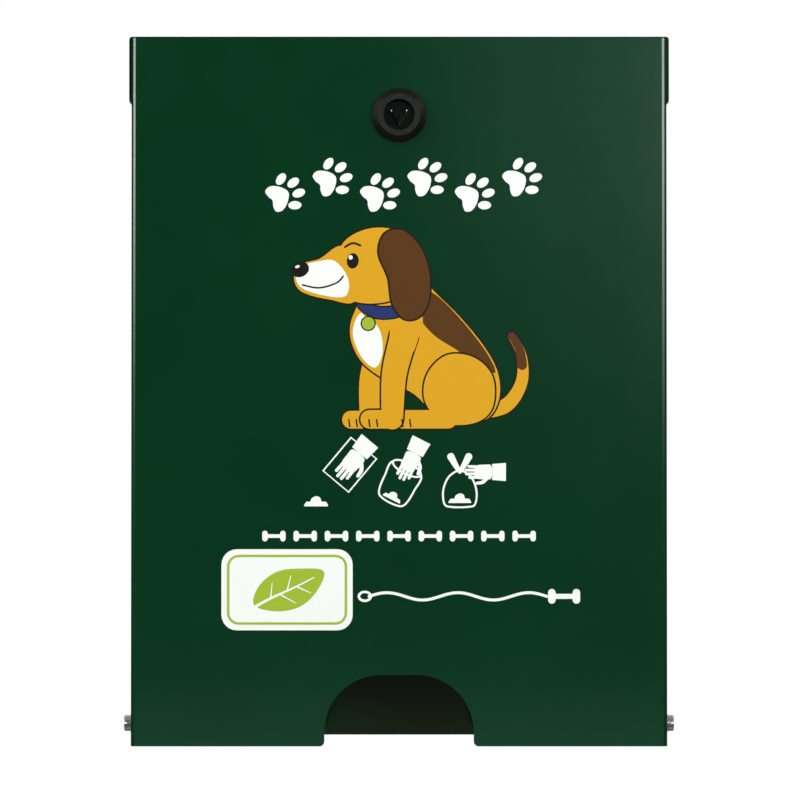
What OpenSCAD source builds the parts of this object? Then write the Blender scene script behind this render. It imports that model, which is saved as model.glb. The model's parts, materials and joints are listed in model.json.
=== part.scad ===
// Wall-mounted dog waste bag dispenser: a folded sheet-steel housing with a drip roof, and a
// front cover that folds down on two pivot screws once its quarter-turn lock is opened.
//
// Frame: millimetres, +Z up, the front faces -Y. The origin is the centre of the four wall
// holes, on the face that lies against the wall.

/* [Body] */
// Height from the cover's lower edge to the top of the roof
total_h = 369.4; // [330:0.2:420]
// Height of the wall holes' centre above the cover's lower edge
centre_up = 184; // [170:1:200]
// Outer width of the front cover
cover_w = 278; // [250:1:320]
// Depth from the wall to the cover's front face
depth = 80; // [76:1:100]
// Thickness of the sheet steel
sheet = 1.5; // [1.2:0.1:2]
// Outer radius of the cover's and the housing's bends
bend_r = 2.5; // [2.2:0.1:3]

/* [Front cover] */
// Depth of the cover's side flanges
cover_flange = 35; // [30:1:40]
// Depth of the strip that closes the cover's top
cover_top_depth = 13; // [12:0.5:13.5]
// Gap between the closed cover and the roof above it and beside it
cover_gap = 0.5; // [0.4:0.1:1]
// Gap between the cover's side flanges and the housing inside them
side_gap = 1; // [0.8:0.1:1.5]

/* [Hand opening] */
// Width of the opening in the cover's lower edge
opening_w = 77.4; // [70:0.2:100]
// Height of the opening
opening_h = 36.9; // [34:0.1:40]
// Radius of the opening's upper corners
opening_r = 29.5; // [20:0.5:33]
// Radius where the opening meets the lower edge
opening_lip_r = 2.5; // [1:0.5:4]

/* [Roof] */
// Distance of the roof's front edge behind the cover's front face
roof_setback = 11.5; // [10:0.5:12]
// Height of the roof's side skirts
skirt_h = 34; // [30:0.1:45]
// Outer radius of the roof's bends
roof_bend_r = 1.6; // [1.6:0.1:3]
// Radius of the skirts' lower front corners
skirt_corner_r = 2.5; // [1:0.5:6]

/* [Pivot] */
// Height of the pivot axis above the cover's lower edge
pivot_up = 11; // [11:0.5:12]
// Distance of the pivot axis behind the cover's front face
pivot_back = 16; // [15:0.5:17]
// Radius of the housing's rounded corner about the pivot axis
pivot_corner_r = 10.9; // [8:0.1:11]
// Diameter of the pivot screws' heads
head_d = 8.3; // [8:0.1:9.5]
// Height of the pivot screws' heads
head_h = 3.3; // [2.7:0.1:3.6]

/* [Lock] */
// Distance of the lock's axis below the top of the roof
lock_down = 42.2; // [38:0.2:46]
// Diameter of the lock's flange
lock_flange_d = 28; // [26:0.5:30]
// Diameter of the flange's flat front ring
lock_ring_d = 22; // [20:0.5:24]
// Diameter of the key recess
lock_recess_d = 15.8; // [14:0.2:17]
// Height of the triangular spindle's section, from a side to the opposite corner
triangle_h = 8; // [7:0.5:9]
// Distance from the lock's axis to the cam's tip
cam_reach = 36; // [30:1:37]

/* [Wall holes] */
// Distance between the wall holes from side to side
wall_hole_dx = 230; // [216:2:240]
// Distance between the wall holes up and down
wall_hole_dz = 280; // [260:2:290]
// Diameter of the wall holes
wall_hole_d = 7; // [5:0.5:9]

/* [Bags] */
// Number of bag blocks on the hooks; each has its own pair of nodes
block_count = 3; // [3:1:3]
// Width of a bag block
block_w = 200; // [180:2:210]
// Thickness of a bag block
block_t = 12; // [8:0.5:12]
// Distance between the hooks
hook_dx = 110; // [90:2:130]

/* [Hidden] */
$fn = 64;

// Heights and depths of the main faces
z_bottom = -centre_up;
z_top = total_h - centre_up;
y_front = -depth;
y_cover_inside = y_front + sheet;
roof_under = z_top - sheet;
cover_top = roof_under - cover_gap;

// Housing: inside the cover's flanges, rounded about the pivot at its lower front corners
housing_w = cover_w - 2 * (sheet + side_gap);
pivot_y = y_front + pivot_back;
pivot_z = z_bottom + pivot_up;
housing_bottom = pivot_z - pivot_corner_r;
housing_front = pivot_y - pivot_corner_r;
top_notch_h = 6;
housing_side_top = cover_top - top_notch_h;

// Roof: its skirts pass outside the cover, and its rear flange lies inside the back plate,
// full width only above the housing's sides
roof_w = cover_w + 2 * (cover_gap + sheet);
roof_front = y_front + roof_setback;
rear_flange_w = 260;
rear_flange_h = 21.5;
rear_trim_top = housing_side_top + cover_gap;
rivet_r = 1.6;
rivet_head_h = 0.9;
rivet_tail_h = 2.2;
rivet_gap = 0.05;
rivet_z = z_top - 15;

// Keeper: the lip that the locked cam turns in behind
keeper_w = 50;
keeper_lip_y = y_front + 14;
keeper_lip_h = 18.5;
keeper_depth = 26;

// Pivot stack, counted outwards from the housing's side flange
housing_side_x = housing_w / 2;
cover_side_x = cover_w / 2;
washer_t = 1;
washer_r = 5;
spacer_r = 6;
pivot_hole_r = 2.65;
pivot_shank_r = 2.45;
shank_reach = 10;
nut_bore_r = 2.5;
nut_pilot_r = 3.5;
nut_body_r = 5;
nut_body_h = 4;
slot_w = 1.4;
slot_depth = 1.5;
slot_tilt = 8;
head_edge_r = 0.7;

// Lock, front to back along its axis
lock_z = z_top - lock_down;
gasket_t = 0.8;
flange_rim_h = 1;
flange_cone_h = 2.5;
lock_face_y = y_front - gasket_t - flange_rim_h - flange_cone_h;
recess_depth = 8;
insert_head_t = 1.8;
insert_head_gap = 0.2;
triangle_tall = 5.5;
triangle_tip_r = 5.2;
key_chamfer_r = 1;
key_chamfer_h = 0.7;
barrel_r = 11;
barrel_flats = 20;
barrel_end_y = y_front + 15.5;
shaft_r = 6;
shaft_gap = 0.1;
thread_gap = 0.05;
lock_nut_af = 27;
lock_nut_h = 5;
o_ring_centre_r = 5.5;
o_ring_r = 0.58;
groove_r = 4.9;
groove_w = 1.4;
groove_y = barrel_end_y - 6;
cam_y = barrel_end_y + 1;
cam_t = 3;
cam_w = 18;
cam_hub_r = 10;
cam_tip_r = 4;
square_af = 7;
square_y = barrel_end_y + 0.3;
square_gap = 0.1;
cam_screw_r = 2.5;
cam_screw_depth = 9;
cam_screw_head_h = 3.5;
cam_screw_af = 8;
cam_washer_t = 1.5;
cam_washer_r = 6;

// Bag blocks, hung by two holes on the hooks
hanger_w = 150;
hanger_h = 24;
hanger_t = 2;
hanger_face_y = -sheet - hanger_t;
hook_r = 2.5;
hook_z = 150;
hook_bend_r = 6;
hook_tip_h = 8;
hook_run = 43.5;
hanger_rivet_x = 30;
hanger_z = 148;
block_gap = 0.4;
block_first_y = hanger_face_y - rivet_tail_h - 0.5;
block_top = hook_z + 12;
block_bottom = -146;
block_hole_r = 3.25;
block_hole_z = hook_z - (block_hole_r - hook_r) + 0.05;
card_t = 0.8;
card_h = 34;
card_fit = 0.1;

// --- Helpers -------------------------------------------------------------------------------

// Extrudes a profile drawn as (x, z) along +Y from y = 0
module extrude_y(length) rotate([90, 0, 180]) linear_extrude(length) mirror([1, 0]) children();

// Extrudes a profile drawn as (y, z) along +X from x = 0
module extrude_x(length) rotate([90, 0, 90]) linear_extrude(length) children();

// Cylinder along +Y, and along +X
module rod_y(r, length) rotate([-90, 0, 0]) cylinder(r = r, h = length);
module rod_x(r, length) rotate([0, 90, 0]) cylinder(r = r, h = length);

// Places a child at the pivot on one side, with +X pointing outwards: side is -1 or 1
module at_pivot(side) translate([0, pivot_y, pivot_z]) mirror([side < 0 ? 1 : 0, 0, 0]) children();

// Places a child on the lock's axis
module at_lock(y) translate([0, y, lock_z]) children();

// Solid block of a tray: w wide, l long, d deep, its two long lower edges rounded by r and its
// far lower edge by end_r, or square there if that is 0
module tray_block(w, l, d, r, end_r) intersection() {
    extrude_y(l) {
        translate([-w / 2 + r, 0]) square([w - 2 * r, d]);
        translate([-w / 2, r]) square([w, d - r]);
        for (s = [-1, 1]) translate([s * (w / 2 - r), r]) circle(r);
    }
    translate([-w / 2, 0, 0]) extrude_x(w) {
        square([l - end_r, d]);
        translate([0, end_r]) square([l, d - end_r]);
        if (end_r > 0) translate([l - end_r, end_r]) circle(end_r);
    }
}

// Folded tray: a main sheet at z = 0, two side walls, an end wall at y = l, open at y = 0
module tray(w, l, d, r, end_r) difference() {
    tray_block(w, l, d, r, end_r);
    translate([0, -1, sheet])
        tray_block(w - 2 * sheet, l + 1 - sheet, d, r - sheet, max(end_r - sheet, 0));
}

// What a rounded corner leaves over, for cutting it off an edge that runs along X: the
// corner's own point is at y = z = 0 and the part lies towards +Y and +Z
module corner_waste(r) translate([-1, 0, 0]) extrude_x(cover_w + 20) difference() {
    translate([-1, -1]) square(r + 1);
    translate([r, r]) circle(r);
}

// Flat-head rivet along +Y: its head is flush at y = 0 and its body runs towards -Y
module rivet(grip) rotate([90, 0, 0]) {
    cylinder(r1 = 2 * rivet_r, r2 = rivet_r, h = rivet_head_h);
    cylinder(r = rivet_r, h = grip + rivet_tail_h / 2);
    translate([0, 0, grip]) cylinder(r1 = 1.6 * rivet_r, r2 = 1.2 * rivet_r, h = rivet_tail_h);
}

// Hole for that rivet, countersunk at its head's angle and open at both ends
module rivet_hole(grip) rotate([90, 0, 0]) {
    past = 0.1;
    flare = rivet_r * past / rivet_head_h;
    translate([0, 0, -past])
        cylinder(r1 = 2 * rivet_r + flare + rivet_gap, r2 = rivet_r + rivet_gap,
                 h = rivet_head_h + past);
    cylinder(r = rivet_r + rivet_gap, h = grip + 5 * past);
}

// Rivet places: three through the roof's rear flange, two through the hanger plate
module at_roof_rivets() for (x = [-100, 0, 100]) translate([x, 0, rivet_z]) children();
module at_hanger_rivets()
    for (x = [-1, 1]) translate([x * hanger_rivet_x, 0, hanger_z]) children();

// --- Housing -------------------------------------------------------------------------------

module back_housing() color("darkgreen") difference() {
    // A channel: the tray's end wall, past the housing's lower edge, is cut off
    translate([0, 0, z_top]) rotate([90, 180, 0])
        tray(housing_w, z_top - housing_bottom + 2 * sheet, -housing_front, bend_r, 0);
    translate([-housing_w, -2 * depth, housing_bottom - depth])
        cube([2 * housing_w, 3 * depth, depth]);
    // The side flanges end under the roof, and the back plate runs up behind it
    translate([-housing_w, -depth - sheet, housing_side_top]) cube([2 * housing_w, depth, 20]);
    for (s = [-1, 1]) translate([s * housing_side_x, 0, housing_side_top + 10])
        cube([2 * bend_r, 10, 20], center = true);
    translate([-cover_side_x - 9, housing_front, housing_bottom]) corner_waste(pivot_corner_r);
    for (x = [-1, 1], z = [-1, 1])
        translate([x * wall_hole_dx / 2, -2 * sheet, z * wall_hole_dz / 2])
            rod_y(wall_hole_d / 2, 3 * sheet);
    translate([-housing_w, pivot_y, pivot_z]) rod_x(nut_pilot_r + thread_gap, 2 * housing_w);
    at_roof_rivets() rivet_hole(sheet);
    at_hanger_rivets() rivet_hole(sheet);
}

module roof_cap() color("darkgreen") difference() {
    translate([0, roof_front, z_top]) rotate([0, 180, 0])
        tray(roof_w, -sheet - roof_front, skirt_h, roof_bend_r, roof_bend_r);
    // The rear wall is trimmed to a flange that clears the housing's side flanges
    translate([-roof_w / 2 + sheet, -2 * sheet - 0.01, z_top - skirt_h - 1])
        cube([roof_w - 2 * sheet, 2 * sheet, skirt_h + 1 - rear_flange_h]);
    for (s = [-1, 1]) translate([s * (roof_w / 2 + rear_flange_w / 2 - sheet) / 2,
                                 -sheet, rear_trim_top - skirt_h / 2])
        cube([roof_w / 2 - rear_flange_w / 2 - sheet, 2 * sheet + 0.02, skirt_h], center = true);
    translate([-cover_side_x - 9, roof_front, z_top - skirt_h]) corner_waste(skirt_corner_r);
    at_roof_rivets() rivet_hole(2 * sheet);
}

module roof_rivets() color("silver") at_roof_rivets() rivet(2 * sheet);

module lock_keeper() color("darkgreen") translate([-keeper_w / 2, keeper_lip_y, 0])
    extrude_x(keeper_w) difference() {
        translate([0, roof_under - keeper_lip_h]) keeper_outline(0);
        translate([sheet, roof_under - keeper_lip_h - sheet]) keeper_outline(sheet);
    }

// Rectangle with its upper front corner rounded, for the keeper's bend
module keeper_outline(inset) {
    r = bend_r - inset;
    translate([r, 0]) square([keeper_depth - r, keeper_lip_h]);
    square([keeper_depth, keeper_lip_h - r]);
    translate([r, keeper_lip_h - r]) circle(r);
}

// --- Pivots --------------------------------------------------------------------------------

module clinch_nut(side) color("silver") at_pivot(side) difference() {
    union() {
        translate([housing_side_x - sheet - nut_body_h, 0, 0]) rod_x(nut_body_r, nut_body_h);
        translate([housing_side_x - sheet - 1, 0, 0]) rod_x(nut_pilot_r, sheet + 1);
    }
    translate([housing_side_x - 10, 0, 0]) rod_x(nut_bore_r, 20);
}

module pivot_spacer(side) color("white") at_pivot(side)
    translate([housing_side_x, 0, 0]) ring_x(spacer_r, side_gap);

module pivot_washer(side) color("silver") at_pivot(side)
    translate([cover_side_x, 0, 0]) ring_x(washer_r, washer_t);

module ring_x(r, t) difference() {
    rod_x(r, t);
    translate([-1, 0, 0]) rod_x(pivot_hole_r, t + 2);
}

// Slotted cheese-head screw: its head's outer edge is rounded
module pivot_screw(side) color("silver") at_pivot(side) translate([cover_side_x + washer_t, 0, 0])
    difference() {
        union() {
            translate([-shank_reach, 0, 0]) rod_x(pivot_shank_r, shank_reach + 1);
            rotate([0, 90, 0]) rotate_extrude() {
                square([head_d / 2 - head_edge_r, head_h]);
                square([head_d / 2, head_h - head_edge_r]);
                translate([head_d / 2 - head_edge_r, head_h - head_edge_r]) circle(head_edge_r);
            }
        }
        translate([head_h, 0, 0]) rotate([-slot_tilt, 0, 0])
            cube([2 * slot_depth, 2 * head_d, slot_w], center = true);
    }

// --- Bag holder ----------------------------------------------------------------------------

module hanger_plate() color("silver") difference() {
    translate([-hanger_w / 2, hanger_face_y, hanger_z - hanger_h / 2])
        cube([hanger_w, hanger_t, hanger_h]);
    at_hanger_rivets() rivet_hole(sheet + hanger_t);
}

module hanger_rivets() color("silver") at_hanger_rivets() rivet(sheet + hanger_t);

module bag_hook(side) color("silver") translate([side * hook_dx / 2, hanger_face_y, hook_z]) {
    translate([0, -hook_run, 0]) rod_y(hook_r, hook_run);
    translate([0, -hook_run, hook_bend_r]) rotate([0, 90, 0]) rotate([0, 0, -90])
        rotate_extrude(angle = 90) translate([hook_bend_r, 0]) circle(hook_r, $fn = 32);
    translate([0, -hook_run - hook_bend_r, hook_bend_r]) cylinder(r = hook_r, h = hook_tip_h);
}

// Front face of block number i, counted from the wall
function block_y(i) = block_first_y - i * (block_t + block_gap) + block_gap;

module block_holes() for (s = [-1, 1])
    translate([s * hook_dx / 2, -depth, block_hole_z]) rod_y(block_hole_r, depth);

module header_card(i) color("tan") difference() {
    translate([-block_w / 2, block_y(i), block_top - card_h]) cube([block_w, block_t, card_h]);
    translate([-block_w, block_y(i) + card_t, block_top - card_h - 1])
        cube([2 * block_w, block_t - 2 * card_t, card_h + 1 - card_t]);
    block_holes();
}

module bag_block(i) color("dimgray") difference() {
    union() {
        translate([-block_w / 2, block_y(i), block_bottom])
            cube([block_w, block_t, block_top - card_h - block_gap - block_bottom]);
        translate([-block_w / 2, block_y(i) + card_t + card_fit, block_bottom])
            cube([block_w, block_t - 2 * (card_t + card_fit),
                  block_top - card_t - card_fit - block_bottom]);
    }
    block_holes();
}

// --- Front cover ---------------------------------------------------------------------------

// Hand opening in the cover's lower edge, drawn as (x, height above the edge)
module hand_opening() {
    translate([-opening_w / 2, -1]) square([opening_w, opening_h - opening_r + 1]);
    translate([-opening_w / 2 + opening_r, 0]) square([opening_w - 2 * opening_r, opening_h]);
    for (s = [-1, 1]) {
        translate([s * (opening_w / 2 - opening_r), opening_h - opening_r])
            circle(opening_r, $fn = 128);
        difference() {
            translate([s * (opening_w + opening_lip_r) / 2, opening_lip_r / 2 - 0.5])
                square([opening_lip_r, opening_lip_r + 1], center = true);
            translate([s * (opening_w / 2 + opening_lip_r), opening_lip_r]) circle(opening_lip_r);
        }
    }
}

module front_cover() color("darkgreen") difference() {
    translate([0, y_front, z_bottom]) rotate([90, 0, 180])
        tray(cover_w, cover_top - z_bottom, cover_flange, bend_r, 0);
    // The welded top strip is short, and the side flanges step down behind it
    translate([-cover_w, y_front + cover_top_depth, cover_top - top_notch_h])
        cube([2 * cover_w, cover_flange, 2 * top_notch_h]);
    translate([0, y_front - 1, z_bottom]) extrude_y(cover_flange / 2) hand_opening();
    at_lock(y_front - 1) intersection() {
        rod_y(barrel_r + 0.2, cover_flange / 2);
        translate([-barrel_flats / 2 - 0.2, 0, -barrel_r - 1])
            cube([barrel_flats + 0.4, cover_flange / 2, 2 * barrel_r + 2]);
    }
    translate([-cover_w, pivot_y, pivot_z]) rod_x(pivot_hole_r, 2 * cover_w);
}

// --- Lock ----------------------------------------------------------------------------------

module lock_gasket() color("dimgray") at_lock(y_front - gasket_t) difference() {
    rod_y(lock_flange_d / 2 - 0.5, gasket_t);
    translate([0, -1, 0]) rod_y(barrel_r + 0.3, gasket_t + 2);
}

module lock_body() color("dimgray") at_lock(lock_face_y) difference() {
    union() {
        rotate([-90, 0, 0]) cylinder(r1 = lock_ring_d / 2, r2 = lock_flange_d / 2,
                                     h = flange_cone_h);
        translate([0, flange_cone_h, 0]) rod_y(lock_flange_d / 2, flange_rim_h);
        intersection() {
            translate([0, 1, 0]) rod_y(barrel_r, barrel_end_y - lock_face_y - 1);
            translate([-barrel_flats / 2, 0, -barrel_r - 1])
                cube([barrel_flats, barrel_end_y - lock_face_y, 2 * barrel_r + 2]);
        }
    }
    translate([0, -1, 0]) rod_y(lock_recess_d / 2, recess_depth + 1);
    rod_y(shaft_r + shaft_gap, barrel_end_y - lock_face_y + 1);
}

module lock_nut() color("silver") at_lock(y_cover_inside) difference() {
    intersection() {
        rotate([-90, 0, 0]) cylinder(d = lock_nut_af / cos(30), h = lock_nut_h, $fn = 6);
        rod_y(lock_nut_af / 2 + 1.2, lock_nut_h);
    }
    translate([0, -1, 0]) rod_y(barrel_r + thread_gap, lock_nut_h + 2);
}

// Three-sided key stub, pointing down, milled on a turned blank whose chamfer bevels its corners
module key_stub(length) intersection() {
    extrude_y(length)
        polygon([for (a = [-90, 30, 150]) triangle_h * 2 / 3 * [cos(a), sin(a)]]);
    union() {
        rotate([-90, 0, 0]) cylinder(r1 = triangle_tip_r - key_chamfer_r, r2 = triangle_tip_r,
                                     h = key_chamfer_h);
        translate([0, key_chamfer_h, 0]) rod_y(triangle_tip_r, length - key_chamfer_h);
    }
}

module lock_insert() color("dimgray") difference() {
    recess_floor_y = lock_face_y + recess_depth;
    head_y = recess_floor_y - insert_head_gap - insert_head_t;
    union() {
        at_lock(head_y - triangle_tall) key_stub(triangle_tall + 0.5);
        at_lock(head_y) rod_y(lock_recess_d / 2 - 0.2, insert_head_t);
        at_lock(head_y + 0.5) rod_y(shaft_r, square_y - head_y - 0.5);
        at_lock(square_y - 0.5) translate([-square_af / 2, 0, -square_af / 2])
            cube([square_af, cam_y + cam_t - 0.3 - square_y + 0.5, square_af]);
    }
    at_lock(groove_y) difference() {
        rod_y(shaft_r + 1, groove_w);
        rod_y(groove_r, groove_w);
    }
    at_lock(cam_y + cam_t - cam_screw_depth - 1) rod_y(cam_screw_r + thread_gap, 20);
}

module lock_o_ring() color("dimgray") at_lock(groove_y + groove_w / 2) rotate([-90, 0, 0])
    rotate_extrude() translate([o_ring_centre_r, 0]) circle(o_ring_r, $fn = 24);

// The cam points to the left at rest, and up when it is locked
module lock_cam() color("silver") at_lock(cam_y) difference() {
    union() {
        rod_y(cam_hub_r, cam_t);
        extrude_y(cam_t) {
            translate([-cam_reach + cam_tip_r, -cam_w / 2]) square([cam_reach - cam_tip_r, cam_w]);
            translate([-cam_reach, -cam_w / 2 + cam_tip_r])
                square([cam_reach, cam_w - 2 * cam_tip_r]);
            for (s = [-1, 1])
                translate([-cam_reach + cam_tip_r, s * (cam_w / 2 - cam_tip_r)])
                    circle(cam_tip_r);
        }
    }
    translate([0, cam_t / 2, 0])
        cube([square_af + 2 * square_gap, 2 * cam_t, square_af + 2 * square_gap], center = true);
}

module cam_washer() color("silver") at_lock(cam_y + cam_t) difference() {
    rod_y(cam_washer_r, cam_washer_t);
    translate([0, -1, 0]) rod_y(cam_screw_r + 0.15, cam_washer_t + 2);
}

module cam_screw() color("silver") {
    at_lock(cam_y + cam_t - cam_screw_depth)
        rod_y(cam_screw_r, cam_screw_depth + cam_washer_t + 0.5);
    at_lock(cam_y + cam_t + cam_washer_t) rotate([-90, 0, 0])
        cylinder(d = cam_screw_af / cos(30), h = cam_screw_head_h, $fn = 6);
}

// --- Nodes ---------------------------------------------------------------------------------

back_housing();
roof_cap();
roof_rivets();
lock_keeper();
hanger_plate();
hanger_rivets();
bag_hook(-1);  // bag_hook_left
bag_hook(1);  // bag_hook_right
clinch_nut(-1);  // clinch_nut_left
clinch_nut(1);  // clinch_nut_right
pivot_spacer(-1);  // pivot_spacer_left
pivot_spacer(1);  // pivot_spacer_right
pivot_washer(-1);  // pivot_washer_left
pivot_washer(1);  // pivot_washer_right
pivot_screw(-1);  // pivot_screw_left
pivot_screw(1);  // pivot_screw_right
header_card(1);  // header_card_1
header_card(2);  // header_card_2
header_card(3);  // header_card_3
bag_block(1);  // bag_block_1
bag_block(2);  // bag_block_2
bag_block(3);  // bag_block_3
front_cover();
lock_gasket();
lock_body();
lock_nut();
lock_insert();
lock_o_ring();
lock_cam();
cam_washer();
cam_screw();
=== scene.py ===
"""Looks of a wall-mounted dog waste bag dispenser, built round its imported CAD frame."""

import json
import math
import random

import bmesh
import bpy
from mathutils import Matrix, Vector, noise
from mathutils.geometry import delaunay_2d_cdt


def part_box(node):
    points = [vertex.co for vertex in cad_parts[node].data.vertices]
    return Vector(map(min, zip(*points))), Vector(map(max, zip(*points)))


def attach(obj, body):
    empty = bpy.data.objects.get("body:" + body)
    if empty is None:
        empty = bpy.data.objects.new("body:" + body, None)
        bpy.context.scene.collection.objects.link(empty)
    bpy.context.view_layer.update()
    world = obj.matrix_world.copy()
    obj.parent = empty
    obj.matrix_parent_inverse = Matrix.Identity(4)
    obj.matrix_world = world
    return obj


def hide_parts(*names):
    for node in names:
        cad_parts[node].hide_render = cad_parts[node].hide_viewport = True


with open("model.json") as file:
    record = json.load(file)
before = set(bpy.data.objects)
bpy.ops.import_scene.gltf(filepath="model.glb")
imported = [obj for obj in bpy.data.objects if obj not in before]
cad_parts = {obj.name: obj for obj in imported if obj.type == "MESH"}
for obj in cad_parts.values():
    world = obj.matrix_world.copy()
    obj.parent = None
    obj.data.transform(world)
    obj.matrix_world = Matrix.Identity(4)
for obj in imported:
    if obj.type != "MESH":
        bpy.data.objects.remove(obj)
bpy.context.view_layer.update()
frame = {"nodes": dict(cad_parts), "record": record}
nodes = frame["nodes"]
MM = 0.001

# Places worked out from the frame
lock_lo, lock_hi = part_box("lock_body")
FACE_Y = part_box("front_cover")[0].y
LOCK_AXIS = Vector((0, 0, (lock_lo.z + lock_hi.z) / 2))


# --- Materials -------------------------------------------------------------------------------

class Surface:
    """A Principled material whose nodes read the object's own coordinates.

    It is made from a name and the shader's plain values, such as Metallic=1.0."""

    # A Mix node has sockets for each data type; these are the places of the colour ones
    COLOUR_A, COLOUR_B, COLOUR_OUT = 6, 7, 2

    def __init__(self, name, **values):
        self.material = bpy.data.materials.new(name)
        self.material.use_nodes = True
        self.tree = self.material.node_tree
        self.shader = self.tree.nodes["Principled BSDF"]
        self.where = self.tree.nodes.new("ShaderNodeTexCoord").outputs["Object"]
        for socket, value in values.items():
            self.shader.inputs[socket.replace("_", " ")].default_value = value

    def node(self, kind, inputs=None, **settings):
        """A shader node; an input is another node's output or a plain value."""
        made = self.tree.nodes.new("ShaderNode" + kind)
        for name, value in settings.items():
            setattr(made, name, value)
        for socket, value in (inputs or {}).items():
            if isinstance(value, bpy.types.NodeSocket):
                self.tree.links.new(value, made.inputs[socket])
            else:
                made.inputs[socket].default_value = value
        return made

    def stretched(self, scale):
        """The object's coordinates, scaled by (x, y, z)."""
        return self.node("Mapping", {"Vector": self.where, "Scale": scale}).outputs["Vector"]

    def noise(self, scale, detail=3.0, rough=0.5, where=None):
        """Cloudy noise; a larger scale makes it finer."""
        made = self.node("TexNoise", {"Vector": where or self.where, "Scale": scale,
                                      "Detail": detail, "Roughness": rough})
        return made.outputs["Fac"]

    def cells(self, scale):
        """Distance from the nearest of many scattered points."""
        made = self.node("TexVoronoi", {"Vector": self.where, "Scale": scale})
        return made.outputs["Distance"]

    def ramp(self, fac, *stops):
        """A colour ramp through (position, colour) stops; a number stands for a grey."""
        made = self.node("ValToRGB", {"Fac": fac})
        points = made.color_ramp.elements
        while len(points) < len(stops):
            points.new(0.5)
        for point, (place, colour) in zip(points, stops):
            point.position = place
            point.color = (*colour, 1) if isinstance(colour, tuple) else (colour,) * 3 + (1,)
        return made.outputs["Color"]

    def mix(self, fac, a, b):
        """Colour a, or b where fac is 1."""
        made = self.node("Mix", data_type="RGBA")
        sockets = [made.inputs[place] for place in ("Factor", self.COLOUR_A, self.COLOUR_B)]
        for socket, value in zip(sockets, (fac, a, b)):
            if isinstance(value, bpy.types.NodeSocket):
                self.tree.links.new(value, socket)
            else:
                socket.default_value = (*value, 1) if isinstance(value, tuple) else value
        return made.outputs[self.COLOUR_OUT]

    def into(self, socket, value):
        """Links a node's output to a socket of the shader."""
        self.tree.links.new(value, self.shader.inputs[socket])
        return self

    def bump(self, height, distance, strength):
        """Fine relief from a height field, distance metres deep."""
        made = self.node("Bump", {"Height": height, "Distance": distance, "Strength": strength})
        return self.into("Normal", made.outputs["Normal"])


def shade(colour, factor):
    """The colour made darker or lighter."""
    return tuple(c * factor for c in colour)


def powder_coat():
    """Semi-gloss moss green powder coat: fine orange peel, faint mottling, a few dust nibs."""
    green = (0.0010, 0.0328, 0.0108)
    s = Surface("moss_green_powder_coat", Specular_IOR_Level=0.5)
    mottle = s.ramp(s.noise(22.0), (0.3, shade(green, 0.93)), (0.7, shade(green, 1.07)))
    nib = s.ramp(s.cells(95.0), (0.028, 1.0), (0.045, 0.0))
    picked = s.ramp(s.noise(31.0, detail=1.0), (0.60, 0.0), (0.64, 1.0))
    specks = s.node("Math", {0: nib, 1: picked}, operation="MULTIPLY").outputs[0]
    s.into("Base Color", s.mix(specks, mottle, (0.030, 0.075, 0.048)))
    s.into("Roughness", s.ramp(s.noise(60.0), (0.3, 0.123), (0.7, 0.137)))
    peel = s.noise(620.0, detail=2.0)
    return s.bump(peel, 0.012 * MM, 0.5).material


def turned_steel():
    """Stainless steel with fine turning marks."""
    s = Surface("turned_stainless", Metallic=1.0)
    s.into("Base Color", s.ramp(s.noise(500.0), (0.3, (0.33, 0.305, 0.28)), (0.7, (0.44, 0.415, 0.39))))
    s.into("Roughness", s.ramp(s.noise(900.0), (0.3, 0.32), (0.7, 0.46)))
    return s.bump(s.noise(1500.0, where=s.stretched((3, 1, 1))), 0.01 * MM, 0.4).material


def zinc():
    """Bright zinc plating: pale, slightly patchy, with a faint crystal mottle."""
    s = Surface("zinc_plating", Metallic=1.0)
    patches = s.ramp(s.noise(90.0), (0.3, (0.30, 0.32, 0.35)), (0.55, (0.42, 0.43, 0.44)),
                     (0.75, (0.45, 0.43, 0.36)))
    s.into("Base Color", patches)
    s.into("Roughness", s.ramp(s.noise(240.0), (0.3, 0.34), (0.7, 0.52)))
    return s.bump(s.noise(1100.0), 0.008 * MM, 0.5).material


def rivet_metal():
    """Plain aluminium, drawn and slightly dull."""
    s = Surface("rivet_aluminium", Metallic=1.0)
    s.into("Base Color", s.ramp(s.noise(400.0), (0.3, (0.55, 0.55, 0.56)), (0.7, (0.72, 0.72, 0.73))))
    s.into("Roughness", s.ramp(s.noise(700.0), (0.3, 0.34), (0.7, 0.52)))
    return s.bump(s.noise(1300.0), 0.01 * MM, 0.5).material


def lock_plastic():
    """Black glass-filled nylon with a fine moulded grain; its forward-facing faces are painted paler, a
    painted highlight for the flat front face under the lamps.
    """
    s = Surface("black_glass_filled_nylon", Specular_IOR_Level=0.12)
    moulded = s.ramp(s.noise(800.0), (0.35, (0.0030, 0.0026, 0.0016)),
                     (0.75, (0.0050, 0.0045, 0.0030)))
    # Painted light: a paler colour for the faces that look forward, standing in for the light the flat
    # front face catches
    painted_front_light = s.ramp(s.noise(520.0, detail=5.0), (0.35, (0.0125, 0.0128, 0.0092)),
                     (0.75, (0.0200, 0.0202, 0.0155)))
    facing = s.node("SeparateXYZ", {0: s.tree.nodes["Texture Coordinate"].outputs["Normal"]})
    front = s.node("Math", {0: facing.outputs["Y"], 1: -1.0}, operation="MULTIPLY").outputs[0]
    s.into("Base Color", s.mix(s.ramp(front, (0.90, 0.0), (0.97, 1.0)), moulded, painted_front_light))
    s.into("Roughness", s.ramp(s.noise(1000.0), (0.3, 0.42), (0.7, 0.54)))
    return s.bump(s.noise(2600.0, detail=1.0), 0.012 * MM, 0.6).material


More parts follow.
